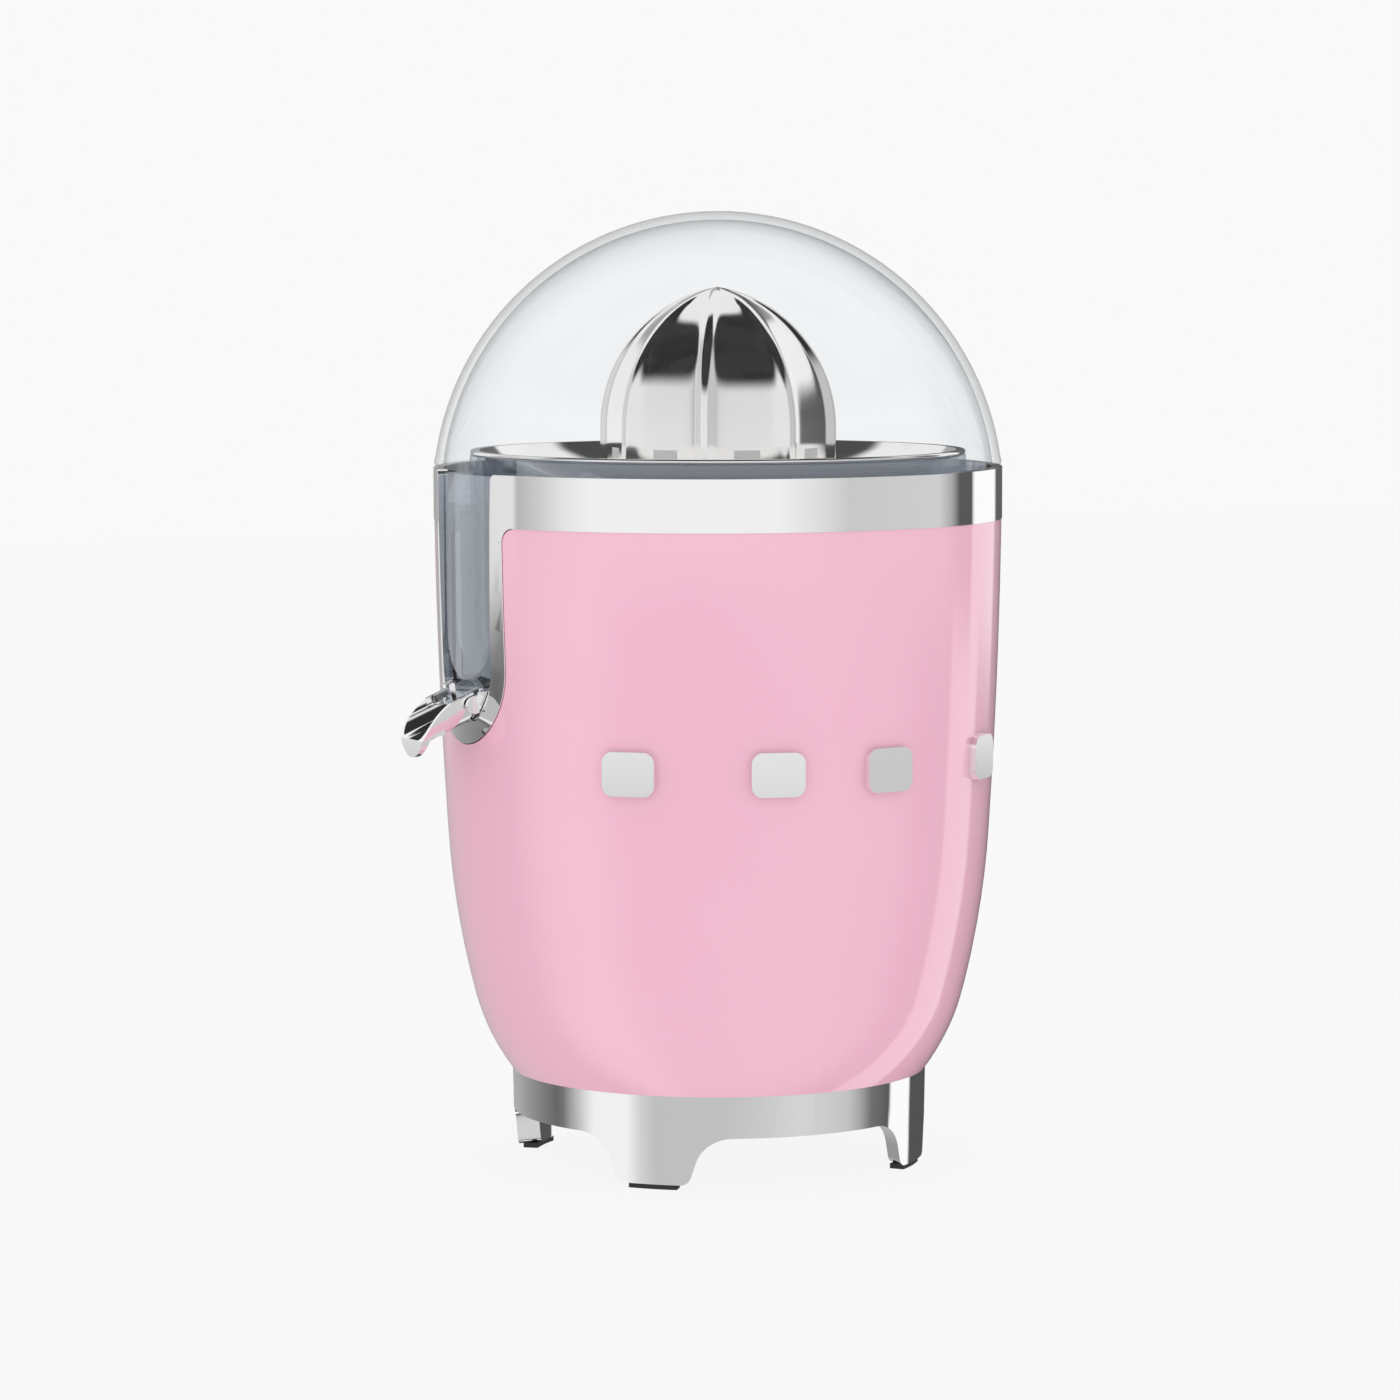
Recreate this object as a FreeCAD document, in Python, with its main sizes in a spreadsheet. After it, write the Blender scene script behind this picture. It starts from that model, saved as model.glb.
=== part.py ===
"""Citrus press juicer: a free-standing electric squeezer with a domed lid, a strainer and a pouring spout.

Millimetres. The origin is on the juicer's vertical axis, on the surface it stands on; +Z is up, the
spout points along -Y and the row of badges is centred near +X. The cable inlet is at the back, +Y.
"""
import FreeCAD, Part
import math
import os

import Sketcher

Vector = FreeCAD.Vector
Rotation = FreeCAD.Rotation
UP = Vector(0, 0, 1)

SIZES = {
    # whole object
    "total_height": 280.0, "sliding_fit": 0.05,
    # feet and base ring
    "pad_height": 1.5, "arch_height": 15.2, "ring_top": 27.3, "ring_radius": 61.3, "ring_foot_radius": 60.8,
    "ring_wall": 6.0, "ledge_radius": 50.0, "ledge_thick": 2.5, "arch_flat_half": 23.6, "arch_bend": 9.5,
    "foot_side_top_x": 32.8, "foot_side_top_z": 8.2, "foot_side_low_x": 34.0, "foot_side_low_z": 3.7,
    "foot_corner": 3.0, "foot_corner_x": 36.3, "pad_angle": 14.0, "base_plate_thickness": 2.5,
    "base_plate_top": 20.5,
    # enamelled shell
    "shell_wall": 3.0, "shell_top": 190.1, "shell_top_radius": 83.5, "shell_shoulder_z": 98.8,
    "shell_shoulder_radius": 80.0, "shell_hip_z": 49.4, "shell_hip_radius": 72.1, "shell_bend": 1750.0,
    "shoulder_bend": 250.0, "hip_bend": 66.0,
    # collar and the frame around the slot
    "collar_top": 205.2, "collar_radius": 83.7, "collar_wall": 3.1, "spigot_radius": 80.3,
    "spigot_inner": 77.2, "spigot_low": 187.0, "spigot_high": 193.0, "frame_half": 23.3,
    "frame_centre_z": 150.05, "frame_proud": 0.35, "frame_corner": 4.4,
    "slot_half": 17.1, "slot_top_half": 18.6, "slot_centre_z": 150.0, "slot_corner": 2.0,
    "panel_gap": 0.25,
    # well liner under the bowl
    "liner_radius": 78.6, "liner_wall": 1.6, "liner_floor": 131.0, "liner_floor_thickness": 2.0,
    "boss_radius": 9.0, "boss_top": 148.0, "seal_height": 5.0,
    # bowl
    "bowl_radius": 73.0, "bowl_wall": 2.2, "bowl_top": 208.6, "bowl_floor_edge": 152.0,
    "bowl_floor_rise": 5.0, "bowl_flange_z": 193.3, "bowl_flange_radius": 80.0, "chimney_radius": 12.7,
    "chimney_inner": 10.5, "chimney_top": 200.0, "nose_half": 16.7, "nose_top_half": 18.2,
    "nose_centre_z": 162.0, "nose_radius": 81.6, "nose_wall": 2.1, "nose_top": 204.4,
    "duct_half": 13.0, "duct_top_half": 15.5, "duct_centre_z": 163.2, "outlet_half": 6.0,
    # strainer
    "strainer_rim_radius": 72.6, "strainer_rim_z": 208.9, "strainer_bead": 0.9, "strainer_wall": 0.8,
    "strainer_top_radius": 70.2, "strainer_floor_radius": 56.0, "strainer_floor_z": 196.0,
    "strainer_hub_radius": 24.0, "strainer_hub_inner": 13.2, "strainer_hub_z": 200.3, "hole_radius": 1.3,
    # reamer
    "reamer_radius": 35.0, "reamer_bottom": 206.8, "reamer_top": 257.8, "reamer_skirt_z": 215.0,
    "reamer_wall": 1.0, "reamer_bend": 47.0, "reamer_inner_bend": 46.0, "rib_bend": 46.5,
    "rib_width": 3.4, "rib_height": 2.6, "hub_radius": 8.0, "hub_bottom": 192.0,
    "hub_top": 222.0, "hub_disc_z": 208.0, "hub_disc": 3.0, "hex_half": 3.5,
    "hex_clearance": 0.3, "bush_outer": 10.1, "bush_bottom": 196.0, "bush_top": 206.0,
    "bush_flange_z": 203.2, "bush_flange_radius": 12.4, "wear_radius": 19.0, "wear_bottom": 201.4,
    "wear_top": 203.5, "wear_inner": 14.2,
    # lid
    "lid_radius": 84.0, "lid_wall": 2.5, "lid_bottom": 205.5, "lid_foot_radius": 82.5,
    "lid_bead_top": 207.7, "lid_bead": 1.4,
    # spout
    "spout_axis_y": -83.4, "spout_axis_z": 144.3, "spout_slope": 23.0, "trough_radius": 10.2,
    "trough_wall": 1.3, "trough_inner_end": 9.0, "lip_half": 9.8, "lip_floor_w": -10.2,
    "lip_corner": 6.0, "lip_inner_half": 8.5, "lip_inner_floor_w": -8.5, "lip_inner_corner": 4.6,
    "lip_front": 98.5, "rim_w": -1.8, "mouth_start": 8.0, "mouth_end": 20.0, "mouth_low_w": -8.6,
    "mouth_bend": 22.0, "chin_radius": 8.4, "chin_z": 131.9, "chin_thick": 2.7, "flange_half": 16.8,
    "flange_top": 144.7, "flange_front": 83.4, "flange_back": 80.7, "recess_radius": 11.6,
    "recess_floor": 81.5, "seam_gap": 0.4,
    "cheek_inner": 10.5, "cheek_thick": 1.5, "cheek_radius": 2.4, "pin_radius": 0.9, "pin_u": 2.4,
    "pin_w": -5.0, "pin_length": 4.4,
    # badges
    "badge_width": 15.5, "badge_height": 12.6, "badge_thick": 1.8, "badge_z": 122.0, "badge_seat": 81.2,
    "badge_1_angle": 45.8, "badge_2_angle": 75.5, "badge_3_angle": 99.8, "badge_4_angle": 132.4,
    "badge_corner": 3.2,
    # chassis, motor and gears
    "deck_z": 92.0, "deck_thick": 3.0, "deck_radius": 56.0, "leg_radius": 4.5, "leg_circle": 44.0,
    "motor_offset": 34.0, "motor_radius": 21.5, "motor_low": 42.0, "motor_high": 92.0, "motor_wall": 1.5,
    "armature_radius": 15.0, "armature_low": 50.0, "armature_high": 80.0, "motor_shaft": 2.5,
    "motor_shaft_low": 44.0, "motor_shaft_high": 103.3, "motor_bush_radius": 6.0, "motor_bush_height": 4.0,
    "pinion_low": 97.0, "pinion_high": 103.3, "idler_x": 23.4, "idler_y": 28.66, "idler_pin": 2.0,
    "idler_low": 98.0, "idler_wheel": 5.0, "idler_pinion_top": 117.0, "output_low": 106.5,
    "output_thick": 6.0, "spindle_radius": 4.0, "spindle_low": 80.1, "spindle_round_top": 187.0,
    "spindle_top": 215.0, "case_top": 120.0, "case_wall": 2.0, "case_low": 95.0,
    "upper_bush_radius": 6.5, "tube_inner": 9.0, "tube_outer": 11.5,
    "tube_floor": 60.0, "tube_floor_thick": 2.5, "cup_radius": 8.7, "cup_high": 80.0, "cup_thick": 5.0,
    "stem_radius": 2.0, "stem_low": 57.2, "spring_radius": 6.4, "spring_wire": 0.6, "spring_turns": 6.0,
    # switch, electronics, cable inlet
    "switch_half_x": 10.0, "switch_half_y": 3.2, "switch_low": 40.0, "switch_high": 53.0,
    "plunger_radius": 1.5, "plunger_top": 57.0, "plunger_low": 48.0, "board_x": -38.0, "board_low": 36.0,
    "board_height": 44.0, "board_width": 46.0, "board_thick": 1.6, "inlet_z": 40.0, "inlet_radius": 5.5,
    "inlet_flange": 8.0, "inlet_bore": 3.4, "inlet_length": 15.0,
    # fasteners
    "screw_radius": 1.6, "screw_head_radius": 3.0, "screw_head": 2.0,
}
WHEEL_TEETH = {"output": 60, "idler_pinion": 14, "idler_wheel": 48, "motor_pinion": 12}
MODULES = {"output": 1.0, "idler_pinion": 1.0, "idler_wheel": 0.8, "motor_pinion": 0.8}

doc = FreeCAD.newDocument("citrus_juicer")
sheet = doc.addObject("Spreadsheet::Sheet", "sizes")
sub_parts = []


class Size:
    """A length in millimetres with the spreadsheet expression that gives it."""

    def __init__(self, number, text):
        self.number = number
        self.text = text

    def joined(self, other, sign, result):
        other = as_size(other)
        return Size(result(self.number, other.number), f"({self.text} {sign} {other.text})")

    def __add__(self, other):
        return self.joined(other, "+", lambda a, b: a + b)

    def __sub__(self, other):
        return self.joined(other, "-", lambda a, b: a - b)

    def __mul__(self, other):
        return self.joined(other, "*", lambda a, b: a * b)

    def __truediv__(self, other):
        return self.joined(other, "/", lambda a, b: a / b)

    def __neg__(self):
        return Size(-self.number, f"(-{self.text})")


def as_size(value):
    return value if isinstance(value, Size) else Size(float(value), str(float(value)))


def fill_sheet():
    """Write every driving size into the spreadsheet and return them by name."""
    known = {}
    for row, (name, number) in enumerate(SIZES.items(), start=1):
        sheet.set(f"A{row}", name)
        sheet.set(f"B{row}", str(number))
        sheet.setAlias(f"B{row}", name)
        known[name] = Size(number, f"sizes.{name}")
    doc.recompute()
    return known


class Lookup:
    """Reads a size as an attribute, such as S.ring_top."""

    def __init__(self, table):
        self.__dict__.update(table)


S = Lookup(fill_sheet())


# ---------------------------------------------------------------- sketches and features
def bind(target, prop, value):
    target.setExpression(prop, as_size(value).text)


def attach(owner, name, role, offset=None):
    """A sketch on one of a body's own origin planes, moved along the plane's normal by offset."""
    sketch = owner.newObject("Sketcher::SketchObject", name)
    plane = [feature for feature in owner.Origin.OriginFeatures if feature.Role == role][0]
    sketch.AttachmentSupport = [(plane, "")]
    sketch.MapMode = "FlatFace"
    if offset is not None:
        bind(sketch, "AttachmentOffset.Base.z", offset)
    return sketch


def fix_point(sketch, edge, end, x, y):
    """Hold one end of an edge at sizes measured from the sketch's origin."""
    for kind, value in (("DistanceX", as_size(x)), ("DistanceY", as_size(y))):
        index = sketch.addConstraint(Sketcher.Constraint(kind, -1, 1, edge, end, value.number))
        sketch.setExpression(f"Constraints[{index}]", value.text)


def arc_through(begin, end, radius, turn):
    """The minor arc from begin to end; turn is +1 when it bends left on the way and -1 when right."""
    chord = end - begin
    left = Vector(-chord.y, chord.x, 0).normalize()
    reach = math.sqrt(max(radius ** 2 - (chord.Length / 2) ** 2, 0.0))
    centre = (begin + end) / 2 + left * reach * turn
    middle = centre - left * radius * turn
    return Part.Arc(begin, middle, end)


def outline(sketch, start, *legs):
    """Draw one closed outline. A leg is (x, y) for a line, or (x, y, radius, turn) for an arc."""
    first = sketch.GeometryCount
    here = Vector(as_size(start[0]).number, as_size(start[1]).number, 0)
    last_end = Vector(as_size(legs[-1][0]).number, as_size(legs[-1][1]).number, 0)
    legs = list(legs) + ([start] if (last_end - here).Length > 1e-6 else [])
    for step, leg in enumerate(legs):
        there = Vector(as_size(leg[0]).number, as_size(leg[1]).number, 0)
        if len(leg) == 2:
            edge = sketch.addGeometry(Part.LineSegment(here, there))
        else:
            edge = sketch.addGeometry(arc_through(here, there, as_size(leg[2]).number, leg[3]))
        if step:
            begin = 1 if len(leg) == 2 or leg[3] > 0 else 2
            before = legs[step - 1]
            last = 2 if len(before) == 2 or before[3] > 0 else 1
            sketch.addConstraint(Sketcher.Constraint("Coincident", edge - 1, last, edge, begin))
        here = there
    for step, leg in enumerate(legs):
        edge = first + step
        end = 2 if len(leg) == 2 or leg[3] > 0 else 1
        fix_point(sketch, edge, end, leg[0], leg[1])
        if len(leg) == 4:
            radius = as_size(leg[2])
            index = sketch.addConstraint(Sketcher.Constraint("Radius", edge, radius.number))
            sketch.setExpression(f"Constraints[{index}]", radius.text)
    last_leg = legs[-1]
    last = 2 if len(last_leg) == 2 or last_leg[3] > 0 else 1
    opening = 1 if len(legs[0]) == 2 or legs[0][3] > 0 else 2
    sketch.addConstraint(Sketcher.Constraint("Coincident", first + len(legs) - 1, last, first, opening))
    return sketch


def circle(sketch, x, y, radius):
    edge = sketch.addGeometry(Part.Circle(Vector(as_size(x).number, as_size(y).number, 0), UP,
                                          as_size(radius).number))
    fix_point(sketch, edge, 3, x, y)
    index = sketch.addConstraint(Sketcher.Constraint("Radius", edge, as_size(radius).number))
    sketch.setExpression(f"Constraints[{index}]", as_size(radius).text)
    return sketch


def box_outline(sketch, x0, y0, x1, y1):
    return outline(sketch, (x0, y0), (x1, y0), (x1, y1), (x0, y1))


def new_body(label):
    body = doc.addObject("PartDesign::Body", label)
    body.Label = label
    sub_parts.append(body)
    return body


def hidden_body(label):
    """A body that only serves as a tool for a boolean."""
    body = doc.addObject("PartDesign::Body", label)
    body.Label = label
    return body


def revolve(body, sketch, angle=360.0, axis="V_Axis", kind="Revolution"):
    feature = body.newObject(f"PartDesign::{kind}", sketch.Name + "_turned")
    feature.Profile = sketch
    feature.ReferenceAxis = (sketch, [axis])
    feature.Angle = angle
    feature.Midplane = angle < 360.0
    return feature


def pad(body, sketch, length, midplane=False, reverse=False):
    feature = body.newObject("PartDesign::Pad", sketch.Name + "_pad")
    feature.Profile = sketch
    bind(feature, "Length", length)
    feature.Midplane = midplane
    feature.Reversed = reverse
    return feature


def pocket(body, sketch, length, midplane=False, reverse=False):
    """Cut a sketch out of a body, and stop if nothing was cut."""
    doc.recompute()
    before = body.Shape.Volume
    feature = body.newObject("PartDesign::Pocket", sketch.Name + "_cut")
    feature.Profile = sketch
    bind(feature, "Length", length)
    feature.Midplane = midplane
    feature.Reversed = reverse
    doc.recompute()
    if body.Shape.Volume > before - 1e-3:
        raise RuntimeError(f"{sketch.Name} cuts nothing from {body.Label}")
    return feature


def pattern(body, feature, count):
    """Repeat a feature evenly round the body's Z axis."""
    repeat = body.newObject("PartDesign::PolarPattern", feature.Name + "_round")
    repeat.Originals = [feature]
    axis = [item for item in body.Origin.OriginFeatures if item.Role == "Z_Axis"][0]
    repeat.Axis = (axis, [""])
    repeat.Angle = 360.0
    repeat.Occurrences = count
    body.Tip = repeat
    doc.recompute()
    return repeat


def turned(label, start, *legs):
    """A body turned about the Z axis from one outline of radius and height."""
    body = new_body(label)
    revolve(body, outline(attach(body, label + "_profile", "XZ_Plane"), start, *legs))
    return body


def ring(label, inner, outer, low, high, body_maker=None):
    """A plain washer, bush or tube about the Z axis."""
    body = (body_maker or new_body)(label)
    revolve(body, box_outline(attach(body, label + "_profile", "XZ_Plane"), inner, low, outer, high))
    return body


def cylinder(name, radius, height, x=0.0, y=0.0, z=0.0):
    solid = doc.addObject("Part::Cylinder", name)
    bind(solid, "Radius", radius)
    bind(solid, "Height", height)
    for axis, value in (("x", x), ("y", y), ("z", z)):
        bind(solid, f"Placement.Base.{axis}", value)
    return solid


def block(name, x0, x1, y0, y1, z0, z1):
    solid = doc.addObject("Part::Box", name)
    for side, low, high in (("Length", x0, x1), ("Width", y0, y1), ("Height", z0, z1)):
        bind(solid, side, as_size(high) - low)
    for axis, value in (("x", x0), ("y", y0), ("z", z0)):
        bind(solid, f"Placement.Base.{axis}", value)
    return solid


def boolean(kind, label, pieces, listed=True):
    """Fuse, cut or keep the common space of several solids."""
    if kind == "Cut":
        tools = pieces[1:]
        tool = tools[0] if len(tools) == 1 else boolean("MultiFuse", label + "_tools", tools, False)
        result = doc.addObject("Part::Cut", label)
        result.Base, result.Tool = pieces[0], tool
    elif kind == "MultiCommon":
        result = doc.addObject("Part::MultiCommon", label)
        result.Shapes = pieces
    else:
        result = doc.addObject("Part::MultiFuse", label)
        result.Shapes = pieces
    result.Label = label
    if listed:
        sub_parts.append(result)
    return result


def group(label, pieces):
    """Several separate solids that are one node, such as a set of screws."""
    result = doc.addObject("Part::Compound", label)
    result.Links = pieces
    result.Label = label
    sub_parts.append(result)
    return result


def u_prism(name, half, centre_z, top, top_half=None, corner=None):
    """A prism along -Y with a half-round lower end, for slots and their frames.

    Its sides part from half at centre_z to top_half at top. A corner is a radius at the top of the
    sides: there they turn outwards in an arc, and the prism goes on wider above it.
    """
    body = hidden_body(name)
    sketch = attach(body, name + "_outline", "XZ_Plane")
    wide = half if top_half is None else top_half
    low_end = [(0.0, centre_z - half, half, 1), (half, centre_z, half, 1)]
    if corner is None:
        outline(sketch, (-wide, top), (-half, centre_z), *low_end, (wide, top))
    else:
        ceiling = top + 15.0
        outline(sketch, (-wide - corner, ceiling), (-wide - corner, top), (-wide, top - corner, corner, -1),
                (-half, centre_z), *low_end, (wide, top - corner), (wide + corner, top, corner, -1),
                (wide + corner, ceiling))
    pad(body, sketch, 130.0)
    return body


# ---------------------------------------------------------------- base
def base_ring():
    """Bright ring with four feet and a ledge inside; an arch is cut between each two feet."""
    body = turned("base_ring", (S.ring_foot_radius - S.ring_wall, S.pad_height),
                  (S.ring_foot_radius, S.pad_height), (S.ring_radius, S.ring_top),
                  (S.ring_foot_radius - S.ring_wall, S.ring_top),
                  (S.ring_foot_radius - S.ring_wall, S.base_plate_top + S.ledge_thick),
                  (S.ledge_radius, S.base_plate_top + S.ledge_thick), (S.ledge_radius, S.base_plate_top),
                  (S.ring_foot_radius - S.ring_wall, S.base_plate_top))
    sketch = attach(body, "arch", "XZ_Plane")
    outline(sketch, (-S.arch_flat_half, S.arch_height),
            (-S.foot_side_top_x, S.foot_side_top_z, S.arch_bend, 1),
            (-S.foot_side_low_x, S.foot_side_low_z),
            (-S.foot_corner_x, S.pad_height, S.foot_corner, -1),
            (-S.foot_corner_x, 0.0), (S.foot_corner_x, 0.0), (S.foot_corner_x, S.pad_height),
            (S.foot_side_low_x, S.foot_side_low_z, S.foot_corner, -1),
            (S.foot_side_top_x, S.foot_side_top_z),
            (S.arch_flat_half, S.arch_height, S.arch_bend, 1))
    pattern(body, pocket(body, sketch, 100.0, reverse=True), 4)


def foot_pads():
    """A thin rubber pad under each foot."""
    pads = []
    for corner in (45.0, 135.0, 225.0, 315.0):
        body = hidden_body(f"foot_pad_{int(corner)}")
        sketch = attach(body, body.Name + "_profile", "XZ_Plane")
        inner = S.ring_foot_radius - S.ring_wall + 0.8
        box_outline(sketch, inner, 0.0, S.ring_foot_radius - 0.8, S.pad_height)
        turn = revolve(body, sketch, SIZES["pad_angle"])
        bind(turn, "Angle", S.pad_angle)
        body.Placement.Rotation = Rotation(UP, corner)
        pads.append(body)
    group("foot_pads", pads)


def base_plate():
    """Round closing plate with a ring of vent slots and four screw holes."""
    body = new_body("base_plate")
    low = S.base_plate_top - S.base_plate_thickness
    sketch = circle(attach(body, "plate", "XY_Plane", low), 0.0, 0.0, S.ring_foot_radius - S.ring_wall - 0.2)
    pad(body, sketch, S.base_plate_thickness)
    holes = attach(body, "plate_screw_hole", "XY_Plane", S.base_plate_top)
    circle(holes, S.leg_circle * math.sqrt(0.5), S.leg_circle * math.sqrt(0.5), S.screw_radius + 0.1)
    pattern(body, pocket(body, holes, S.base_plate_thickness * 2), 4)
    vent = attach(body, "plate_vent", "XY_Plane", S.base_plate_top)
    box_outline(vent, 12.0, -1.5, 30.0, 1.5)
    pattern(body, pocket(body, vent, S.base_plate_thickness * 2), 12)


# ---------------------------------------------------------------- housing
def shell_outline(sketch, inset):
    """Half section of the shell between its outer face and the same face moved in by inset."""
    outline(sketch, (S.shell_top_radius, S.shell_top),
            (S.shell_shoulder_radius, S.shell_shoulder_z, S.shell_bend, -1),
            (S.shell_hip_radius, S.shell_hip_z, S.shoulder_bend, -1),
            (S.ring_radius, S.ring_top, S.hip_bend, -1),
            (S.ring_radius - inset, S.ring_top),
            (S.shell_hip_radius - inset, S.shell_hip_z, S.hip_bend, 1),
            (S.shell_shoulder_radius - inset, S.shell_shoulder_z, S.shoulder_bend, 1),
            (S.shell_top_radius - inset, S.shell_top, S.shell_bend, 1))


def body_shell():
    """Enamelled shell, open at the top and bottom, with the cut-out for the slot frame."""
    body = hidden_body("shell_whole")
    sketch = attach(body, "shell_profile", "XZ_Plane")
    shell_outline(sketch, S.shell_wall)
    revolve(body, sketch)
    opening = u_prism("shell_opening", S.frame_half + S.panel_gap, S.frame_centre_z,
                      S.shell_top - S.panel_gap, corner=S.frame_corner - S.panel_gap)
    inlet = cylinder("inlet_hole", S.inlet_radius + 0.1, 40.0, 0.0, S.spigot_inner + 20.0, S.inlet_z)
    inlet.Placement.Rotation = Rotation(Vector(1, 0, 0), 90)
    boolean("Cut", "body_shell", [body, opening, inlet])


def slot_frame():
    """Bright collar round the top of the shell, in one piece with the U-shaped frame of the slot."""
    band = hidden_body("collar_band")
    outline(attach(band, "collar_profile", "XZ_Plane"), (S.collar_radius - S.collar_wall, S.spigot_high),
            (S.collar_radius - S.collar_wall, S.collar_top), (S.collar_radius, S.collar_top),
            (S.collar_radius, S.shell_top), (S.spigot_radius, S.shell_top), (S.spigot_radius, S.spigot_low),
            (S.spigot_inner, S.spigot_low), (S.spigot_inner, S.spigot_high))
    revolve(band, band.Group[-1])
    skirt = hidden_body("frame_skirt")
    sketch = attach(skirt, "skirt_profile", "XZ_Plane")
    inside = S.collar_radius - S.collar_wall
    outline(sketch, (S.collar_radius, S.shell_top + 2.0), (S.collar_radius, S.shell_top),
            (S.shell_shoulder_radius + S.frame_proud, S.shell_shoulder_z, S.shell_bend, -1),
            (S.liner_radius + 0.1, S.shell_shoulder_z),
            (S.spigot_radius - 0.5, S.shell_top, S.shell_bend, 1),
            (inside, S.shell_top), (inside, S.shell_top + 2.0))
    revolve(skirt, sketch)
    frame = u_prism("frame_outline", S.frame_half, S.frame_centre_z, S.shell_top,
                    corner=S.frame_corner)
    leg = boolean("MultiCommon", "frame_legs", [skirt, frame], False)
    whole = boolean("MultiFuse", "collar_with_frame", [band, leg], False)
    slot = u_prism("slot_outline", S.slot_half, S.slot_centre_z, S.collar_top, S.slot_top_half,
                   S.slot_corner)
    boolean("Cut", "slot_frame", [whole, slot])


def well_liner():
    """Plastic tub inside the shell that the bowl stands in, with a boss for the spindle seal."""
    tub = hidden_body("liner_tub")
    floor_top = S.liner_floor + S.liner_floor_thickness
    bore = S.upper_bush_radius - 1.0
    sketch = attach(tub, "liner_profile", "XZ_Plane")
    outline(sketch, (bore, S.liner_floor), (S.liner_radius, S.liner_floor), (S.liner_radius, S.spigot_low),
            (S.liner_radius - S.liner_wall, S.spigot_low), (S.liner_radius - S.liner_wall, floor_top),
            (S.boss_radius, floor_top), (S.boss_radius, S.boss_top), (bore, S.boss_top))
    revolve(tub, sketch)
    opening = u_prism("liner_opening", S.slot_half + 0.4, S.slot_centre_z - 0.4, S.spigot_low + 5.0,
                      S.slot_top_half)
    drain = block("liner_drain", -12.0, 12.0, -85.0, -62.0, S.liner_floor - 1.0, floor_top + 1.0)
    boolean("Cut", "well_liner", [tub, opening, drain])


def spindle_seal():
    """Rubber seal in the top of the liner's boss; the shaft turns in it."""
    bore = S.spindle_radius + S.sliding_fit
    ring("spindle_seal", bore, S.upper_bush_radius - 1.0, S.boss_top - S.seal_height, S.boss_top)


# ---------------------------------------------------------------- bowl, strainer, reamer, lid
def juice_bowl():
    """Clear bowl with a chimney for the spindle and a nose that fills the slot of the body."""
    body = hidden_body("bowl_turned")
    wall = S.bowl_wall
    edge = S.bowl_radius
    floor = S.bowl_floor_edge
    crown = floor + S.bowl_floor_rise
    flange_top = S.bowl_flange_z + wall
    sketch = attach(body, "bowl_profile", "XZ_Plane")
    outline(sketch, (S.chimney_inner, crown), (edge - 4.0, floor), (edge, floor + 4.0, 4.0, 1),
            (edge, S.bowl_flange_z), (S.bowl_flange_radius, S.bowl_flange_z),
            (S.bowl_flange_radius, flange_top), (edge, flange_top), (edge, S.bowl_top),
            (edge - wall, S.bowl_top), (edge - wall, floor + 5.0), (edge - 5.0, floor + wall, 3.2, -1),
            (S.chimney_radius, crown + wall), (S.chimney_radius, S.chimney_top),
            (S.chimney_inner, S.chimney_top))
    revolve(body, sketch)
    nose_zone = ring("nose_zone", edge - wall - 0.3, S.nose_radius, 140.0, S.nose_top, hidden_body)
    nose = u_prism("nose_outline", S.nose_half, S.nose_centre_z, S.nose_top + 1.0, S.nose_top_half)
    nose_solid = boolean("MultiCommon", "bowl_nose", [nose_zone, nose], False)
    duct_zone = ring("duct_zone", edge - wall - 4.0, S.nose_radius - S.nose_wall, 140.0, 230.0, hidden_body)
    duct = u_prism("duct_outline", S.duct_half, S.duct_centre_z, S.nose_top + 20.0, S.duct_top_half)
    duct_solid = boolean("MultiCommon", "bowl_duct", [duct_zone, duct], False)
    outlet = block("bowl_outlet", -S.outlet_half, S.outlet_half, -S.nose_radius + S.nose_wall,
                   -edge - 1.5, 140.0, 154.0)
    joined = boolean("MultiFuse", "bowl_joined", [body, nose_solid], False)
    boolean("Cut", "juice_bowl", [joined, duct_solid, outlet])


def strainer():
    """Steel dish with rings of drain holes and a hub that goes over the bowl's chimney."""
    body = new_body("strainer")
    gauge = S.strainer_wall
    rim = S.strainer_rim_z
    sketch = attach(body, "strainer_profile", "XZ_Plane")
    outline(sketch, (S.strainer_rim_radius, rim),
            (S.strainer_rim_radius, rim + gauge * 1.6, S.strainer_bead, 1),
            (S.strainer_top_radius, rim + gauge * 1.6),
            (S.strainer_floor_radius, S.strainer_floor_z + gauge, 40.0, -1),
            (S.strainer_hub_radius, S.strainer_floor_z + gauge),
            (S.strainer_hub_radius - 4.0, S.strainer_hub_z + gauge),
            (S.strainer_hub_inner, S.strainer_hub_z + gauge), (S.strainer_hub_inner, S.strainer_hub_z),
            (S.strainer_hub_radius - 4.6, S.strainer_hub_z),
            (S.strainer_hub_radius - 0.5, S.strainer_floor_z),
            (S.strainer_floor_radius, S.strainer_floor_z),
            (S.strainer_top_radius - gauge, rim, 40.0, 1))
    revolve(body, sketch)
    rows = ((29.0, 24), (34.0, 28), (39.0, 32), (44.0, 36), (49.0, 40))
    for row, (circle_radius, count) in enumerate(rows):
        hole = attach(body, f"holes_{row}", "XY_Plane", S.strainer_floor_z + 3.0)
        circle(hole, circle_radius, 0.0, S.hole_radius)
        pattern(body, pocket(body, hole, 6.0), count)


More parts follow.
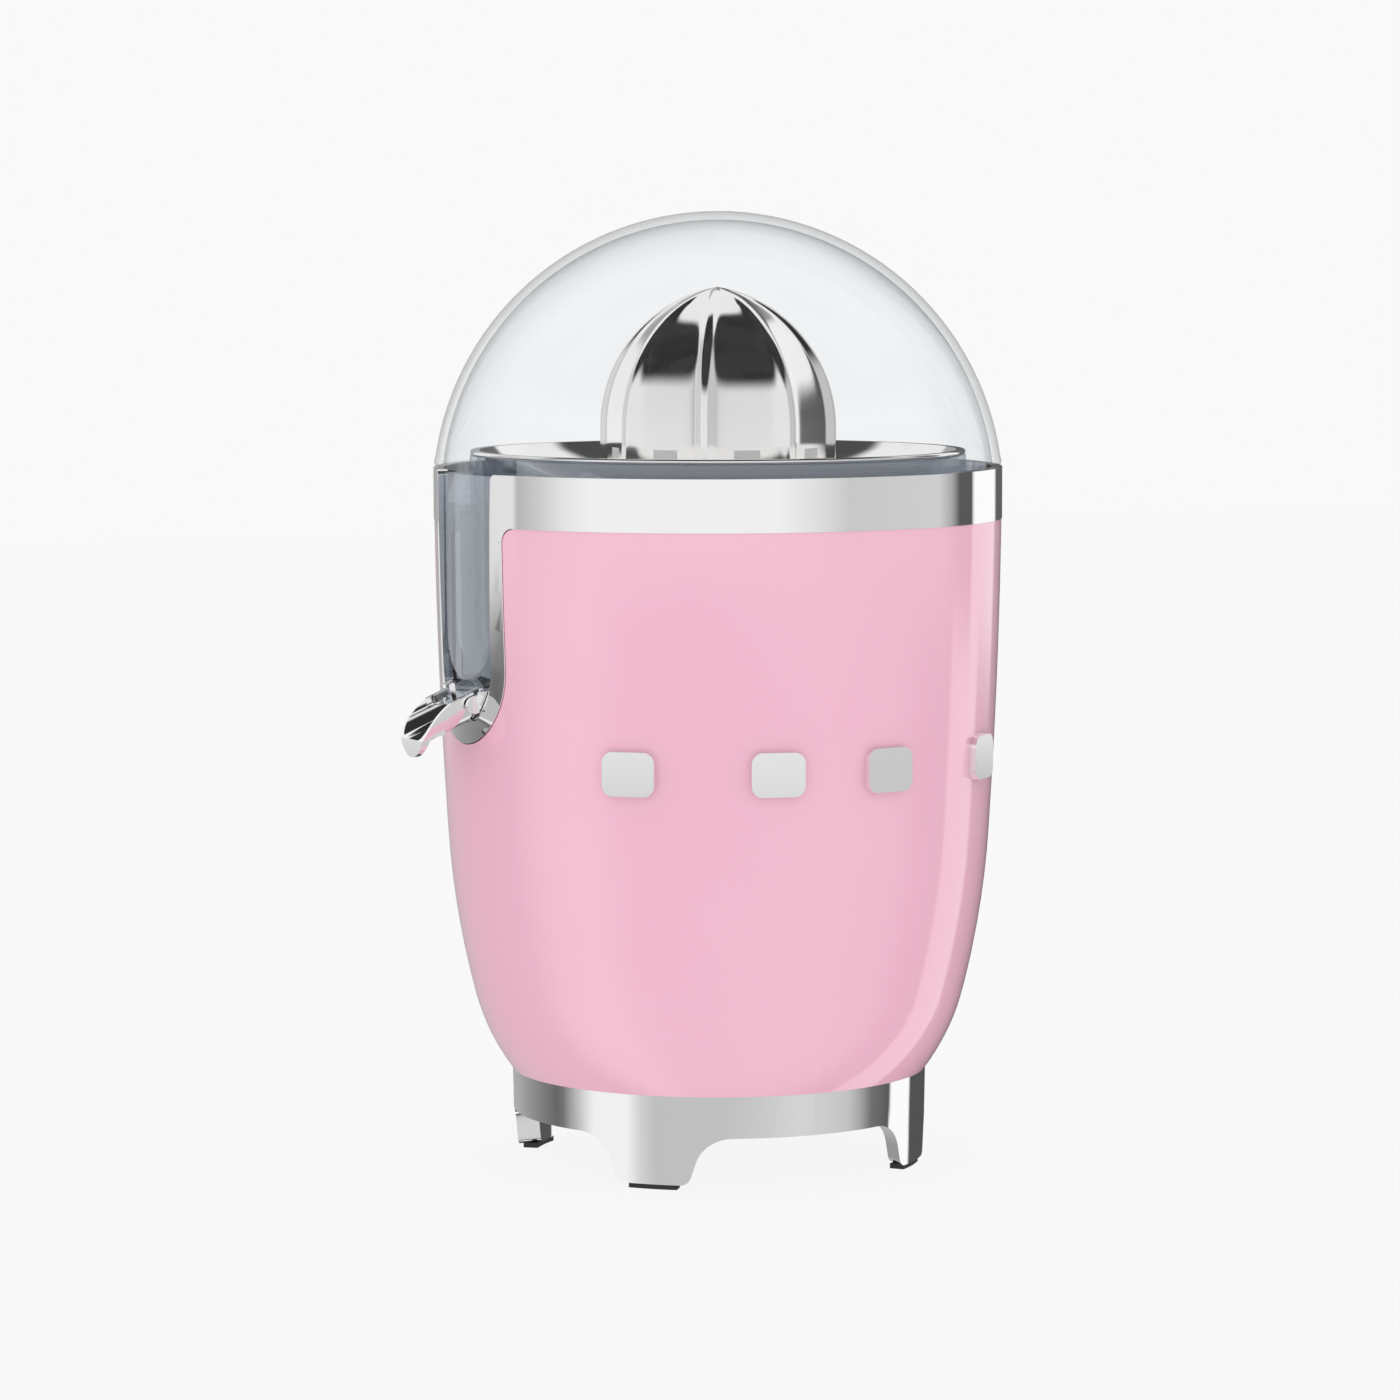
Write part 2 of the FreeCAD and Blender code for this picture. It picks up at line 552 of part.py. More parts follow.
def reamer_cone():
    """Pressed steel cone: a pointed dome with eight raised ribs, hollow underneath."""
    dome = hidden_body("reamer_dome")
    sketch = attach(dome, "reamer_profile", "XZ_Plane")
    outer, top = S.reamer_radius - S.rib_height, S.reamer_top - 1.2
    inner = outer - S.reamer_wall
    outline(sketch, (outer, S.reamer_bottom), (outer, S.reamer_skirt_z), (0.0, top, S.reamer_bend, 1),
            (0.0, top - 2.6), (inner, S.reamer_skirt_z, S.reamer_inner_bend, -1), (inner, S.reamer_bottom))
    revolve(dome, sketch)
    ribs = []
    for index in range(8):
        rib = hidden_body(f"rib_{index}")
        sketch = attach(rib, f"rib_{index}_outline", "XZ_Plane")
        outline(sketch, (outer - 0.8, S.reamer_bottom), (S.reamer_radius, S.reamer_bottom),
                (S.reamer_radius, S.reamer_skirt_z), (0.0, S.reamer_top, S.rib_bend, 1),
                (0.0, top - 1.0), (outer - 0.8, S.reamer_skirt_z, S.rib_bend, -1))
        pad(rib, sketch, S.rib_width, midplane=True)
        rib.Placement.Rotation = Rotation(UP, 45.0 * index + 12.0)
        ribs.append(rib)
    boolean("MultiFuse", "reamer_cone", [dome] + ribs)


def drive_hub():
    """Plastic hub in the cone: a disc that closes it and a tube with a hexagonal socket."""
    body = new_body("drive_hub")
    sketch = attach(body, "hub_profile", "XZ_Plane")
    outline(sketch, (0.0, S.hub_disc_z), (0.0, S.hub_top), (S.hub_radius, S.hub_top),
            (S.hub_radius, S.hub_disc_z + S.hub_disc), (S.reamer_radius - S.rib_height - S.reamer_wall,
            S.hub_disc_z + S.hub_disc), (S.reamer_radius - S.rib_height - S.reamer_wall, S.hub_disc_z),
            (S.hub_radius, S.hub_disc_z), (S.hub_radius, S.hub_bottom), (0.0, S.hub_bottom))
    revolve(body, sketch)
    socket = hexagon(attach(body, "hub_socket", "XY_Plane", S.hub_bottom), S.hex_half + S.hex_clearance)
    pocket(body, socket, S.spindle_top + 1.5 - S.hub_bottom, reverse=True)


def hexagon(sketch, half):
    """A hexagon about the origin, half across its flats."""
    reach = as_size(half) * (2 / math.sqrt(3))
    angles = [math.radians(60 * corner) for corner in range(6)]
    return outline(sketch, *[(reach * round(math.cos(a), 9), reach * round(math.sin(a), 9)) for a in angles])


def reamer_bush():
    """Plain bush between the hub's tube and the bowl's chimney; it goes down with the cone."""
    bore = S.hub_radius + S.sliding_fit
    turned("reamer_bush", (bore, S.bush_bottom), (S.bush_outer, S.bush_bottom),
           (S.bush_outer, S.bush_flange_z), (S.bush_flange_radius, S.bush_flange_z),
           (S.bush_flange_radius, S.bush_top), (bore, S.bush_top))


def lid_dome():
    """Clear dome: part of a sphere with a small bead round its foot."""
    centre_z = S.total_height - S.lid_radius
    inner = S.lid_radius - S.lid_wall
    foot = inner.number * math.cos(math.asin((SIZES["lid_bottom"] - centre_z.number) / inner.number))
    bead_x = math.sqrt(SIZES["lid_radius"] ** 2 - (SIZES["lid_bead_top"] - centre_z.number) ** 2)
    turned("lid_dome", (foot, S.lid_bottom), (S.lid_foot_radius, S.lid_bottom),
           (bead_x, S.lid_bead_top, S.lid_bead, 1), (0.0, S.total_height, S.lid_radius, 1),
           (0.0, S.total_height - S.lid_wall), (foot, S.lid_bottom, inner, -1))


# ---------------------------------------------------------------- spout
def tilted(item):
    """Move a piece made in the spout's own frame: trough axis along -Y, tilted down to its mouth."""
    bind(item, "Placement.Base.y", S.spout_axis_y)
    bind(item, "Placement.Base.z", S.spout_axis_z)
    item.Placement.Rotation = Rotation(Vector(1, 0, 0), SIZES["spout_slope"])
    return item


def along_axis(name, start_u, end_u, start_radius, end_radius, angle=360.0):
    """A cone about the spout's axis from start_u to end_u outwards; 180 degrees gives its lower half."""
    body = hidden_body(name)
    sketch = attach(body, name + "_half", "YZ_Plane")
    outline(sketch, (-as_size(start_u), 0.0), (-as_size(start_u), -as_size(start_radius)),
            (-as_size(end_u), -as_size(end_radius)), (-as_size(end_u), 0.0))
    revolve(body, sketch, angle, "H_Axis")
    return tilted(body)


def spout_channel():
    """Fixed steel trough under the bowl's outlet, with the flange that fills the foot of the slot."""
    pipe = along_axis("channel_pipe", -S.trough_inner_end, 8.0, S.trough_radius, S.trough_radius, 180.0)
    inside = cylinder("channel_reach", S.recess_floor, 60.0, z=110.0)
    trough = boolean("MultiCommon", "channel_trough", [pipe, inside], False)
    zone = ring("flange_zone", S.flange_back, S.flange_front, 120.0, S.flange_top, hidden_body)
    shape = u_prism("flange_outline", S.flange_half, S.slot_centre_z, S.slot_centre_z + 5.0)
    plate = boolean("MultiCommon", "channel_plate", [zone, shape], False)
    recess_zone = ring("recess_zone", S.recess_floor, S.flange_front + 5.0, 110.0, 170.0, hidden_body)
    recess_core = along_axis("recess_core", -20.0, 20.0, S.recess_radius, S.recess_radius)
    recess = boolean("MultiCommon", "channel_recess", [recess_zone, recess_core], False)
    flange = boolean("Cut", "channel_flange", [plate, recess], False)
    cheeks = boolean("MultiFuse", "cheek_pair", [cheek(side) for side in (-1, 1)], False)
    core = cylinder("cheek_core", S.flange_front - 0.2, 60.0, z=110.0)
    ears = boolean("Cut", "cheeks_outside", [cheeks, core], False)
    solid = boolean("MultiFuse", "channel_solid", [trough, flange, ears], False)
    bore_radius = S.trough_radius - S.trough_wall
    bore = along_axis("channel_bore", -30.0, 30.0, bore_radius, bore_radius)
    rim = rim_cutter("channel_rim")
    top = block("channel_top", -20.0, 20.0, -S.flange_front + 0.6, -50.0, S.flange_top, 170.0)
    boolean("Cut", "spout_channel", [solid, bore, rim, top, pin_bore("channel_pin_bore", S.pin_radius)])


def cheek(side):
    """Rounded ear beside the trough that carries one hinge pin."""
    body = hidden_body("cheek_right" if side > 0 else "cheek_left")
    sketch = attach(body, body.Name + "_outline", "YZ_Plane", S.cheek_inner * side)
    outline(sketch, (2.0, S.pin_w - S.cheek_radius), (-S.pin_u, S.pin_w - S.cheek_radius),
            (-S.pin_u - S.cheek_radius, S.pin_w, S.cheek_radius, -1),
            (-S.pin_u, S.pin_w + S.cheek_radius, S.cheek_radius, -1), (2.0, S.pin_w + S.cheek_radius))
    pad(body, sketch, S.cheek_thick, reverse=side < 0)
    return tilted(body)


def rim_cutter(name):
    """Everything above the trough's rim, which runs level and then falls in an arc to the mouth's floor."""
    body = hidden_body(name)
    sketch = attach(body, name + "_outline", "YZ_Plane")
    far_end = -S.mouth_end - 8.0
    outline(sketch, (20.0, S.rim_w), (-S.mouth_start, S.rim_w),
            (-S.mouth_end, S.mouth_low_w, S.mouth_bend, 1), (far_end, S.mouth_low_w), (far_end, 16.0),
            (20.0, 16.0))
    pad(body, sketch, 60.0, midplane=True)
    return tilted(body)


def pin_bore(name, radius, start_x=-20.0, length=40.0):
    """A cylinder on the spout's hinge axis, parallel to X."""
    bore = doc.addObject("Part::Cylinder", name)
    slope = math.radians(SIZES["spout_slope"])
    bind(bore, "Radius", radius)
    bind(bore, "Height", length)
    bind(bore, "Placement.Base.x", start_x)
    bind(bore, "Placement.Base.y", S.spout_axis_y - S.pin_u * math.cos(slope) - S.pin_w * math.sin(slope))
    bind(bore, "Placement.Base.z", S.spout_axis_z - S.pin_u * math.sin(slope) + S.pin_w * math.cos(slope))
    bore.Placement.Rotation = Rotation(Vector(0, 1, 0), 90)
    return bore


def spout_pins():
    """Two short hinge pins, one through each cheek."""
    outer = S.cheek_inner + S.cheek_thick
    group("spout_pins", [pin_bore("spout_pin_left", S.pin_radius, -outer, S.pin_length),
                         pin_bore("spout_pin_right", S.pin_radius, outer - S.pin_length, S.pin_length)])


def lip_section(name, half, floor_w, corner):
    """A long channel with upright sides and rounded lower corners, in the spout's own frame."""
    body = hidden_body(name)
    sketch = attach(body, name + "_outline", "XZ_Plane", -5.0)
    outline(sketch, (-half, 8.0), (-half, floor_w + corner), (-half + corner, floor_w, corner, 1),
            (half - corner, floor_w), (half, floor_w + corner, corner, 1), (half, 8.0))
    pad(body, sketch, 40.0)
    return tilted(body)


def lip_chin():
    """Round thick end under the mouth, with a flat upright front and a back that slopes away."""
    disc = hidden_body("chin_disc")
    sketch = attach(disc, "chin_circle", "XZ_Plane", S.lip_front - 8.0)
    circle(sketch, 0.0, S.chin_z, S.chin_radius)
    pad(disc, sketch, 8.0)
    back = hidden_body("chin_back")
    sketch = attach(back, "chin_back_outline", "YZ_Plane")
    low = S.chin_z - S.chin_radius - 1.0
    outline(sketch, (-S.lip_front - 1.0, low), (-S.lip_front + 1.0, low),
            (-S.lip_front + S.chin_thick, S.chin_z - 2.5), (-S.lip_front + 7.0, S.chin_z - 1.5),
            (-S.lip_front + 7.0, S.chin_z + 2.0), (-S.lip_front - 1.0, S.chin_z + 2.0))
    pad(back, sketch, 40.0, midplane=True)
    return boolean("MultiCommon", "lip_chin", [disc, back], False)


def spout_lip():
    """Tilting scoop at the end of the spout: an open channel with a round chin under its mouth."""
    outside = lip_section("lip_outside", S.lip_half, S.lip_floor_w, S.lip_corner)
    solid = boolean("MultiFuse", "lip_solid", [outside, lip_chin()], False)
    inside = lip_section("lip_inside", S.lip_inner_half, S.lip_inner_floor_w, S.lip_inner_corner)
    front = block("lip_beyond", -20.0, 20.0, -S.lip_front - 30.0, -S.lip_front, 100.0, 160.0)
    body_side = cylinder("lip_clearance", S.flange_front + S.seam_gap, 60.0, z=110.0)
    hinge = pin_bore("lip_pin_bore", S.pin_radius + S.sliding_fit)
    boolean("Cut", "spout_lip", [solid, inside, rim_cutter("lip_rim"), front, body_side, hinge])


def spout_gasket():
    """Rubber strip between the spout's flange and the liner."""
    zone = ring("gasket_zone", S.liner_radius, S.flange_back, 120.0, S.flange_top - 0.5, hidden_body)
    outer = u_prism("gasket_outer", S.flange_half - 0.2, S.slot_centre_z, S.slot_centre_z + 5.0)
    solid = boolean("MultiCommon", "gasket_solid", [zone, outer], False)
    boolean("Cut", "spout_gasket", [solid, along_axis("gasket_bore", -30.0, 30.0, S.trough_radius,
                                                      S.trough_radius)])


# ---------------------------------------------------------------- badges
def badges():
    """Four plain rounded badges set in a row round the shell."""
    for index in range(4):
        body = hidden_body(f"badge_blank_{index + 1}")
        sketch = attach(body, f"badge_{index + 1}_outline", "XZ_Plane", S.badge_seat - 1.0)
        half, tall, corner = S.badge_width / 2, S.badge_height / 2, S.badge_corner
        low, high = S.badge_z - tall, S.badge_z + tall
        outline(sketch, (-half + corner, low), (half - corner, low), (half, low + corner, corner, 1),
                (half, high - corner), (half - corner, high, corner, 1), (-half + corner, high),
                (-half, high - corner, corner, 1), (-half, low + corner), (-half + corner, low, corner, 1))
        pad(body, sketch, S.badge_thick + 1.0)
        body.Placement.Rotation = Rotation(UP, SIZES[f"badge_{index + 1}_angle"])
        boolean("Cut", f"badge_{index + 1}", [body, doc.getObject("shell_whole")])


# ---------------------------------------------------------------- chassis and drive
def leg_places():
    reach = SIZES["leg_circle"] * math.sqrt(0.5)
    return [(sx * reach, sy * reach) for sx in (-1, 1) for sy in (-1, 1)]


def motor_screw_places():
    return [(-13.0, SIZES["motor_offset"] + side * 8.0) for side in (-1, 1)]


def chassis():
    """Moulded frame on four legs: it carries the motor and gears, and the tube of the return spring."""
    plate = cylinder("chassis_plate", S.deck_radius, S.deck_thick, z=S.deck_z)
    tube = cylinder("chassis_tube", S.tube_outer, S.deck_z - S.tube_floor, z=S.tube_floor)
    legs = [cylinder(f"leg_{k}", S.leg_radius, S.deck_z - S.base_plate_top, x, y, S.base_plate_top)
            for k, (x, y) in enumerate(leg_places())]
    solid = boolean("MultiFuse", "chassis_solid", [plate, tube] + legs, False)
    tube_top = S.cup_high + 1.5
    cuts = [cylinder("tube_bore", S.tube_inner, tube_top - S.tube_floor - S.tube_floor_thick,
                     z=S.tube_floor + S.tube_floor_thick),
            cylinder("stem_hole", S.stem_radius + 0.3, 10.0, z=S.tube_floor - 2.0),
            cylinder("spindle_hole", S.upper_bush_radius, 30.0, z=S.cup_high),
            cylinder("motor_nose_hole", S.motor_bush_radius + 0.6, 8.0, 0.0, S.motor_offset, S.deck_z - 2.0)]
    cuts += [cylinder(f"leg_hole_{k}", S.screw_radius, 9.0, x, y, S.base_plate_top)
             for k, (x, y) in enumerate(leg_places())]
    cuts += [cylinder(f"motor_screw_hole_{k}", S.screw_radius, 9.0, x, y, S.deck_z - 3.0)
             for k, (x, y) in enumerate(motor_screw_places())]
    boolean("Cut", "chassis", [solid] + cuts)


def screw_set(label, places, seat_z, shank, upward):
    """Identical screws as one node; upward screws have their heads below the seat."""
    screws = []
    for k, (x, y) in enumerate(places):
        head_z = S.screw_head * -1.0 + seat_z if upward else as_size(seat_z)
        shank_z = as_size(seat_z) if upward else as_size(seat_z) - shank
        head = cylinder(f"{label}_head_{k}", S.screw_head_radius, S.screw_head, x, y, head_z)
        stem = cylinder(f"{label}_shank_{k}", S.screw_radius, shank, x, y, shank_z)
        whole = boolean("MultiFuse", f"{label}_{k}", [head, stem], False)
        screws.append(whole)
    group(label, screws)


def motor():
    """Motor can with its two bearings, and the armature and pinion that turn in it."""
    shaft = S.motor_shaft
    x, y = 0.0, S.motor_offset
    can = cylinder("can_outside", S.motor_radius, S.motor_high - S.motor_low, x, y, S.motor_low)
    inside = cylinder("can_inside", S.motor_radius - S.motor_wall,
                      S.motor_high - S.motor_low - S.motor_wall * 2, x, y, S.motor_low + S.motor_wall)
    mouth = cylinder("can_mouth", S.motor_bush_radius - 1.0, 10.0, x, y, S.motor_high - 5.0)
    holes = [cylinder(f"can_screw_hole_{k}", S.screw_radius, 9.0, hole_x, hole_y, S.motor_high - 5.0)
             for k, (hole_x, hole_y) in enumerate(motor_screw_places())]
    boolean("Cut", "motor_can", [can, inside, mouth] + holes)
    seat = S.motor_high - S.motor_wall
    bushes = []
    for name, low in (("low", S.motor_low + S.motor_wall), ("high", seat - S.motor_bush_height)):
        outer = cylinder(f"motor_bush_{name}_outside", S.motor_bush_radius, S.motor_bush_height, x, y, low)
        bore = cylinder(f"motor_bush_{name}_bore", shaft + S.sliding_fit, 20.0, x, y, low - 5.0)
        bushes.append(boolean("Cut", f"motor_bush_{name}", [outer, bore], False))
    group("motor_bushes", bushes)
    gap = 1.2
    magnet_outer = cylinder("field_outside", S.motor_radius - S.motor_wall,
                            S.armature_high - S.armature_low, x, y, S.armature_low)
    magnet_inner = cylinder("field_inside", S.armature_radius + gap, 60.0, x, y, S.armature_low - 10.0)
    boolean("Cut", "motor_field", [magnet_outer, magnet_inner])
    core = cylinder("armature_core", S.armature_radius, S.armature_high - S.armature_low - 2.0, x, y,
                    S.armature_low + 1.0)
    axle = cylinder("armature_axle", shaft, S.motor_shaft_high - S.motor_shaft_low, x, y, S.motor_shaft_low)
    boolean("MultiFuse", "motor_armature", [core, axle])


def gear(label, key, low, thick, bore, x, y, toward):
    """Spur wheel with straight-flanked teeth; one tooth, or one gap for a pinion, faces toward degrees."""
    teeth, module = WHEEL_TEETH[key], MODULES[key]
    pitch = teeth * module / 2
    tip, root = pitch + 0.72 * module, pitch - 1.25 * module
    shift = math.pi / teeth if key.endswith("pinion") else 0.0
    points = []
    for tooth in range(teeth):
        middle = math.radians(toward) + shift + 2 * math.pi * tooth / teeth
        for radius, share in ((root, -0.34), (tip, -0.13), (tip, 0.13), (root, 0.34)):
            angle = middle + share * 2 * math.pi / teeth
            points.append(Vector(radius * math.cos(angle), radius * math.sin(angle), 0))
    face = Part.Face(Part.makePolygon(points + [points[0]]))
    wheel = doc.addObject("Part::Feature", label)
    wheel.Label = label
    solid = face.extrude(Vector(0, 0, thick.number))
    wheel.Shape = solid.cut(Part.makeCylinder(bore.number, thick.number * 3, Vector(0, 0, -thick.number)))
    wheel.Placement = FreeCAD.Placement(Vector(x, y, low.number), Rotation())
    return wheel


def gears():
    """Two-stage reduction: motor pinion, double idler wheel and the output wheel on the spindle."""
    ix, iy = SIZES["idler_x"], SIZES["idler_y"]
    to_idler = math.degrees(math.atan2(iy, ix))
    to_motor = math.degrees(math.atan2(SIZES["motor_offset"] - iy, -ix))
    sub_parts.append(gear("motor_pinion", "motor_pinion", S.pinion_low, S.pinion_high - S.pinion_low,
                          S.motor_shaft, 0.0, SIZES["motor_offset"], to_motor + 180.0))
    bore = S.idler_pin + S.sliding_fit
    wheel = gear("idler_wheel", "idler_wheel", S.idler_low, S.idler_wheel, bore, ix, iy,
                 to_motor)
    pinion_low = S.idler_low + S.idler_wheel
    pinion = gear("idler_pinion", "idler_pinion", pinion_low, S.idler_pinion_top - pinion_low,
                  S.idler_pin + S.sliding_fit, ix, iy, to_idler + 180.0)
    boolean("MultiFuse", "idler_gear", [wheel, pinion])
    sub_parts.append(gear("output_gear", "output", S.output_low, S.output_thick, S.spindle_radius, 0.0, 0.0,
                          to_idler))
    pin = cylinder("idler_pin", S.idler_pin, S.case_top - S.case_wall - S.case_low, ix, iy, S.case_low)
    pin.Label = "idler_pin"
    sub_parts.append(pin)


def gear_cover():
    """Cover over the gears; its rim stands on the chassis and its centre holds the upper bush."""
    outside = cylinder("cover_outside", S.deck_radius + 5.0, S.case_top - S.case_low, z=S.case_low)
    depth = S.case_top - S.case_low - S.case_wall
    inside = cylinder("cover_inside", S.deck_radius + 3.0, depth, z=S.case_low)
    neck = cylinder("cover_neck", S.upper_bush_radius + 2.5, S.liner_floor - S.case_top, z=S.case_top)
    ledge = cylinder("cover_ledge", S.deck_radius + 3.5, 3.0, z=S.case_low)
    ledge_hole = cylinder("cover_ledge_hole", S.deck_radius - 2.0, 9.0, z=S.case_low - 3.0)
    rim = boolean("Cut", "cover_rim", [ledge, ledge_hole], False)
    hollow = boolean("Cut", "cover_hollow", [outside, inside], False)
    solid = boolean("MultiFuse", "cover_solid", [hollow, neck, rim], False)
    bore = cylinder("cover_bore", S.upper_bush_radius, 40.0, z=S.case_low)
    boolean("Cut", "gear_cover", [solid, bore])


def spindle():
    """Drive shaft, round below and hexagonal where the reamer's hub fits over it."""
    body = new_body("spindle")
    sketch = circle(attach(body, "spindle_round", "XY_Plane", S.spindle_low), 0.0, 0.0, S.spindle_radius)
    pad(body, sketch, S.spindle_round_top - S.spindle_low)
    top = hexagon(attach(body, "spindle_hex", "XY_Plane", S.spindle_round_top), S.hex_half)
    pad(body, top, S.spindle_top - S.spindle_round_top)


def bushes():
    """Bushes of the spindle in the chassis and in the gear cover."""
    bore = S.spindle_radius + S.sliding_fit
    ring("spindle_bush_lower", bore, S.upper_bush_radius, S.deck_z, S.deck_z + 8.0)
    ring("spindle_bush_upper", bore, S.upper_bush_radius, S.case_top + 2.0, S.case_top + 9.0)


def press_mechanism():
    """Thrust cup under the spindle, the spring that lifts it, and the switch that its stem works."""
    low = S.cup_high - S.cup_thick
    cup = cylinder("cup_disc", S.cup_radius, S.cup_thick, z=low)
    stem = cylinder("cup_stem", S.stem_radius, low - S.stem_low, z=S.stem_low)
    boolean("MultiFuse", "thrust_cup", [cup, stem])
    return_spring(low)
    case = block("switch_case_block", -S.switch_half_x, S.switch_half_x, -S.switch_half_y, S.switch_half_y,
                 S.switch_low, S.switch_high)
    bore = cylinder("switch_bore", S.plunger_radius + 0.3, 20.0, z=S.plunger_low - 3.0)
    boolean("Cut", "switch_case", [case, bore])
    plunger = cylinder("switch_plunger", S.plunger_radius, S.plunger_top - S.plunger_low, z=S.plunger_low)
    plunger.Label = "switch_plunger"
    sub_parts.append(plunger)
    outer = block("bracket_outside", -S.switch_half_x - 2.0, S.switch_half_x + 2.0, -5.0, 5.0, S.switch_low,
                  S.tube_floor)
    inner = block("bracket_inside", -S.switch_half_x, S.switch_half_x, -6.0, 6.0, S.switch_low - 1.0,
                  S.tube_floor - 1.5)
    hole = cylinder("bracket_hole", S.stem_radius + 0.5, 10.0, z=S.tube_floor - 5.0)
    boolean("Cut", "switch_bracket", [outer, inner, hole])


def return_spring(top):
    """Coil spring: round wire swept along a helix of half turns, from the tube's floor to the thrust cup."""
    wire, radius = SIZES["spring_wire"], SIZES["spring_radius"]
    low = SIZES["tube_floor"] + SIZES["tube_floor_thick"] + wire
    pitch = (top.number - wire - low) / SIZES["spring_turns"]
    path = []
    for step in range(int(SIZES["spring_turns"] * 2)):
        half_turn = Part.makeHelix(pitch, pitch / 2, radius)
        half_turn.rotate(Vector(0, 0, 0), UP, 180.0 * step)
        half_turn.translate(UP * (pitch / 2 * step))
        path += half_turn.Edges
    section = Part.makeCircle(wire, Vector(radius, 0, 0), Vector(0, 1, 0))
    spring = doc.addObject("Part::Feature", "return_spring")
    spring.Label = "return_spring"
    spring.Shape = Part.Wire(path).makePipeShell([Part.Wire([section])], True, True)
    spring.Placement = FreeCAD.Placement(Vector(0, 0, low), Rotation())
    sub_parts.append(spring)


def electronics():
    """Control board with its suppression capacitor and relay, and the rail that holds it."""
    half = S.board_width / 2
    board = block("circuit_board", S.board_x, S.board_x + S.board_thick, -half, half, S.board_low,
                  S.board_low + S.board_height)
    board.Label = "circuit_board"
    face = S.board_x + S.board_thick
    capacitor = block("capacitor", face, face + 9.0, -16.0, 2.0, S.board_low + 8.0, S.board_low + 24.0)
    capacitor.Label = "capacitor"
    relay = block("relay", face, face + 10.0, 5.0, 17.0, S.board_low + 12.0, S.board_low + 30.0)
    relay.Label = "relay"
    rail_body = block("rail_body", S.board_x - 4.0, S.board_x, -half, half, S.base_plate_top,
                      S.board_low + 6.0)
    rail_body.Label = "board_rail"
    sub_parts.extend([board, capacitor, relay, rail_body])


def cable_inlet():
    """Grommet in the back of the shell where the mains lead goes in."""
    face = 69.0
    outer = cylinder("inlet_flange_disc", S.inlet_flange, 3.0)
    body = cylinder("inlet_body", S.inlet_radius, S.inlet_length)
    bore = cylinder("inlet_bore", S.inlet_bore, 60.0, z=-10.0)
    solid = boolean("MultiFuse", "inlet_solid", [outer, body], False)
    inlet = boolean("Cut", "inlet_bored", [solid, bore], False)
    turn = Rotation(Vector(1, 0, 0), 90)
    inlet.Placement = FreeCAD.Placement(Vector(0, face + 3.0, SIZES["inlet_z"]), turn)
    boolean("Cut", "cable_inlet", [inlet, doc.getObject("body_shell")])


def build():
    base_ring()
    foot_pads()
    base_plate()
    body_shell()
    slot_frame()
    well_liner()
    spindle_seal()
    juice_bowl()
    strainer()
    reamer_cone()
    drive_hub()
    reamer_bush()
    ring("wear_ring", S.wear_inner, S.wear_radius, S.wear_bottom, S.wear_top)
    lid_dome()
    spout_channel()
    spout_pins()
    spout_lip()
    spout_gasket()
    badges()
    chassis()
    screw_set("base_screws", leg_places(), S.base_plate_top - S.base_plate_thickness, 8.0, True)
    motor()
    screw_set("motor_screws", motor_screw_places(), S.deck_z + S.deck_thick, 4.5, False)
    gears()
    gear_cover()
    spindle()
    bushes()
    press_mechanism()
    electronics()
    cable_inlet()


def check_and_write():
    """Stop on any failed object, then write one STEP file for each sub-part."""
    doc.recompute()
    for item in doc.Objects:
        if "Invalid" in item.State or "Error" in item.State:
            raise RuntimeError(f"{item.Label} failed: {item.State}")
    os.makedirs("parts", exist_ok=True)
    for item in sub_parts:
        if item.Shape.isNull() or not item.Shape.isValid():
            raise RuntimeError(f"{item.Label} has a bad shape")
        item.Shape.exportStep(f"parts/{item.Label}.step")
        print(f"{item.Label}: {len(item.Shape.Solids)} solids, {item.Shape.Volume / 1000:.2f} cm3")


build()
check_and_write()
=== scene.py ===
"""Looks of the citrus press juicer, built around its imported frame.

Metres, +Z up. The spout points along -Y, the badges face +X and the cable inlet is at the back.
"""
import math

import bpy
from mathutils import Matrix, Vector


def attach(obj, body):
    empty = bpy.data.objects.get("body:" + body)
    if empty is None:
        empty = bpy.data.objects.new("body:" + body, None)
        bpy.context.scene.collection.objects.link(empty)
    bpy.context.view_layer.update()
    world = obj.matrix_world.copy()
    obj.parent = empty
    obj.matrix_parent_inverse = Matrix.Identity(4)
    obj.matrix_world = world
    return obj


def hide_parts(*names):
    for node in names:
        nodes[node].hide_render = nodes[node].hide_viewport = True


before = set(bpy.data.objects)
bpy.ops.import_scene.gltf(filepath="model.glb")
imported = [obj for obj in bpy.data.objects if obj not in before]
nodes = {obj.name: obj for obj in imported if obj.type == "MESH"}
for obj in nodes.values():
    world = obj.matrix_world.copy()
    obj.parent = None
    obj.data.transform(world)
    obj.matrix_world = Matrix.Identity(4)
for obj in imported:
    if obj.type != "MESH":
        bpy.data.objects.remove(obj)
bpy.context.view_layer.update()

# The camera: its azimuth, distance and height from the foot of the juicer's axis, and its lens in mm.
CAMERA_AZIMUTH = math.radians(63.7)
CAMERA_DISTANCE = 1.548
CAMERA_HEIGHT = 0.2752
CAMERA_PITCH = math.radians(5.14)
CAMERA_ROLL = math.radians(0.11)
CAMERA_LENS = 135.1
CAMERA_SHIFT_X = -0.0124

# Brightness of the backdrop and of the even light on matt surfaces. The floor scatters a little of that
# light and glows for the rest.
BACKDROP, FLOOR_ALBEDO = 0.947, 0.06


# ---------------------------------------------------------------- node helpers
def new_material(name):
    """An empty node material, with its tree and its output node."""
    material = bpy.data.materials.new(name)
    material.use_nodes = True
    tree = material.node_tree
    tree.nodes.clear()
    output = tree.nodes.new("ShaderNodeOutputMaterial")
    return material, tree, output


def add(tree, kind, **settings):
    """A node with its properties and its plain input values set by name."""
    node = tree.nodes.new(kind)
    for key, value in settings.items():
        if hasattr(node, key):
            setattr(node, key, value)
        else:
            node.inputs[key.replace("_", " ")].default_value = value
    return node


